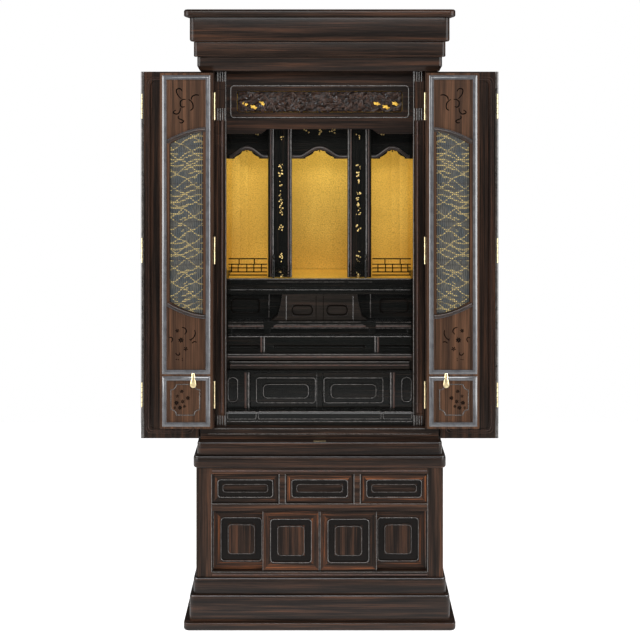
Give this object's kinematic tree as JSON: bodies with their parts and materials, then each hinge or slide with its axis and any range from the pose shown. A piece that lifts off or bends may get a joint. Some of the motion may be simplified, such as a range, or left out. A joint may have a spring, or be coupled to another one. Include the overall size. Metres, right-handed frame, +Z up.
{
  "type": "household altar cabinet",
  "caption": "Floor-standing household altar cabinet with folding double doors, a stepped gold-backed niche, drawers, a pull-out tray and a base with sliding doors.",
  "frame": {"origin": "middle of the underside's bounding box, on the floor", "axes": "+Z up, front faces -Y, +X to the right as seen from the front"},
  "size_m": [0.8184, 0.5, 1.4],
  "materials": {
    "ebony": "striped ebony veneer, satin lacquer",
    "ebony_panel": "browner striped ebony, satin lacquer",
    "black_lacquer": "near-black gloss lacquer",
    "inlaid_lacquer": "near-black lacquer with gold sprigs",
    "carved_wood": "dark carved wood, lacquered",
    "gold_paper": "creped gold paper",
    "brocade": "woven blue-grey and gold",
    "brass": "polished"
  },
  "bodies": {
    "cabinet": {"altar_column_left": "inlaid_lacquer", "altar_column_right": "inlaid_lacquer", "altar_dais": "black_lacquer", "altar_railing_left": "black_lacquer", "altar_railing_right": "black_lacquer", "altar_stage": "black_lacquer", "arch_valance": "inlaid_lacquer", "base_carcass": "ebony", "base_front_frame": "ebony", "base_top_board": "ebony", "cabinet_carcass": "ebony", "cornice_band": "ebony", "cornice_cove": "ebony", "cornice_fascia": "ebony", "cornice_top_board": "ebony", "drawer_housing": "black_lacquer", "foot_board": "ebony", "gold_backdrop": "gold_paper", "hinge_barrel_left_lower": "brass", "hinge_barrel_left_middle": "brass", "hinge_barrel_left_upper": "brass", "hinge_barrel_right_lower": "brass", "hinge_barrel_right_middle": "brass", "hinge_barrel_right_upper": "brass", "inner_sill": "black_lacquer", "lower_plinth": "ebony", "pilaster_left": "ebony", "pilaster_right": "ebony", "step_shelf": "black_lacquer", "transom_carving": "carved_wood", "transom_frame": "ebony", "transom_gold_sheet": "gold_paper", "tray_shelf": "ebony", "upper_plinth": "ebony", "upper_sill": "ebony"},
    "left_inner_hinged": {"inner_door_left_hinged": "ebony_panel", "brocade_panel_left_hinged": "brocade"},
    "left_inner_folded": {"inner_door_left_folded": "ebony_panel", "brocade_panel_left_folded": "brocade", "door_pull_left": "brass"},
    "left_outer_hinged": {"outer_door_left_hinged": "ebony"},
    "left_outer_folded": {"outer_door_left_folded": "ebony"},
    "right_inner_hinged": {"inner_door_right_hinged": "ebony_panel", "brocade_panel_right_hinged": "brocade"},
    "right_inner_folded": {"inner_door_right_folded": "ebony_panel", "brocade_panel_right_folded": "brocade", "door_pull_right": "brass"},
    "right_outer_hinged": {"outer_door_right_hinged": "ebony"},
    "right_outer_folded": {"outer_door_right_folded": "ebony"},
    "base_drawer_left": {"base_drawer_left": "ebony_panel"},
    "base_drawer_middle": {"base_drawer_middle": "ebony_panel"},
    "base_drawer_right": {"base_drawer_right": "ebony_panel"},
    "sliding_door_left_middle": {"sliding_door_left_middle": "ebony_panel"},
    "sliding_door_left_outer": {"sliding_door_left_outer": "ebony_panel"},
    "inner_drawer_left": {"inner_drawer_left": "black_lacquer"},
    "sliding_door_right_middle": {"sliding_door_right_middle": "ebony_panel"},
    "sliding_door_right_outer": {"sliding_door_right_outer": "ebony_panel"},
    "inner_drawer_right": {"inner_drawer_right": "black_lacquer"},
    "serving_tray": {"serving_tray": "ebony"}
  },
  "joints": [
    {"name": "left_inner_swing", "type": "hinge", "parent": "cabinet", "child": "left_inner_hinged", "pos_m": [-0.2415, -0.196, 0.85], "axis": [0, 0, 1], "range_deg": [0, 180]},
    {"name": "left_inner_fold", "type": "hinge", "parent": "left_inner_hinged", "child": "left_inner_folded", "pos_m": [-0.36225, -0.218, 0.85], "axis": [0, 0, 1], "range_deg": [-180, 0]},
    {"name": "left_outer_swing", "type": "hinge", "parent": "cabinet", "child": "left_outer_hinged", "pos_m": [-0.2735, -0.196, 0.85], "axis": [0, 0, 1], "range_deg": [0, 180]},
    {"name": "left_outer_fold", "type": "hinge", "parent": "left_outer_hinged", "child": "left_outer_folded", "pos_m": [-0.41025, -0.18, 0.85], "axis": [0, 0, 1], "range_deg": [0, 180]},
    {"name": "right_inner_swing", "type": "hinge", "parent": "cabinet", "child": "right_inner_hinged", "pos_m": [0.2415, -0.196, 0.85], "axis": [0, 0, -1], "range_deg": [0, 180]},
    {"name": "right_inner_fold", "type": "hinge", "parent": "right_inner_hinged", "child": "right_inner_folded", "pos_m": [0.36225, -0.218, 0.85], "axis": [0, 0, -1], "range_deg": [-180, 0]},
    {"name": "right_outer_swing", "type": "hinge", "parent": "cabinet", "child": "right_outer_hinged", "pos_m": [0.2735, -0.196, 0.85], "axis": [0, 0, -1], "range_deg": [0, 180]},
    {"name": "right_outer_fold", "type": "hinge", "parent": "right_outer_hinged", "child": "right_outer_folded", "pos_m": [0.41025, -0.18, 0.85], "axis": [0, 0, -1], "range_deg": [0, 180]},
    {"name": "base_drawer_left_slide", "type": "slide", "parent": "cabinet", "child": "base_drawer_left", "axis": [0, -1, 0], "range_m": [0, 0.22]},
    {"name": "base_drawer_middle_slide", "type": "slide", "parent": "cabinet", "child": "base_drawer_middle", "axis": [0, -1, 0], "range_m": [0, 0.22]},
    {"name": "base_drawer_right_slide", "type": "slide", "parent": "cabinet", "child": "base_drawer_right", "axis": [0, -1, 0], "range_m": [0, 0.22]},
    {"name": "sliding_door_left_middle_slide", "type": "slide", "parent": "cabinet", "child": "sliding_door_left_middle", "axis": [-1, 0, 0], "range_m": [0, 0.1133]},
    {"name": "sliding_door_left_outer_slide", "type": "slide", "parent": "cabinet", "child": "sliding_door_left_outer", "axis": [1, 0, 0], "range_m": [0, 0.1133]},
    {"name": "inner_drawer_left_slide", "type": "slide", "parent": "cabinet", "child": "inner_drawer_left", "axis": [0, 1, 0], "range_m": [-0.17, 0]},
    {"name": "sliding_door_right_middle_slide", "type": "slide", "parent": "cabinet", "child": "sliding_door_right_middle", "axis": [1, 0, 0], "range_m": [0, 0.1133]},
    {"name": "sliding_door_right_outer_slide", "type": "slide", "parent": "cabinet", "child": "sliding_door_right_outer", "axis": [-1, 0, 0], "range_m": [0, 0.1133]},
    {"name": "inner_drawer_right_slide", "type": "slide", "parent": "cabinet", "child": "inner_drawer_right", "axis": [0, 1, 0], "range_m": [-0.17, 0]},
    {"name": "serving_tray_slide", "type": "slide", "parent": "cabinet", "child": "serving_tray", "axis": [0, 1, 0], "range_m": [-0.16, 0]}
  ],
  "couplings": [
    {"joint": "left_inner_fold", "follows": "left_inner_swing", "ratio": -1},
    {"joint": "left_outer_swing", "follows": "left_inner_swing", "ratio": 1},
    {"joint": "left_outer_fold", "follows": "left_inner_swing", "ratio": 1},
    {"joint": "right_inner_fold", "follows": "right_inner_swing", "ratio": -1},
    {"joint": "right_outer_swing", "follows": "right_inner_swing", "ratio": 1},
    {"joint": "right_outer_fold", "follows": "right_inner_swing", "ratio": 1}
  ]
}
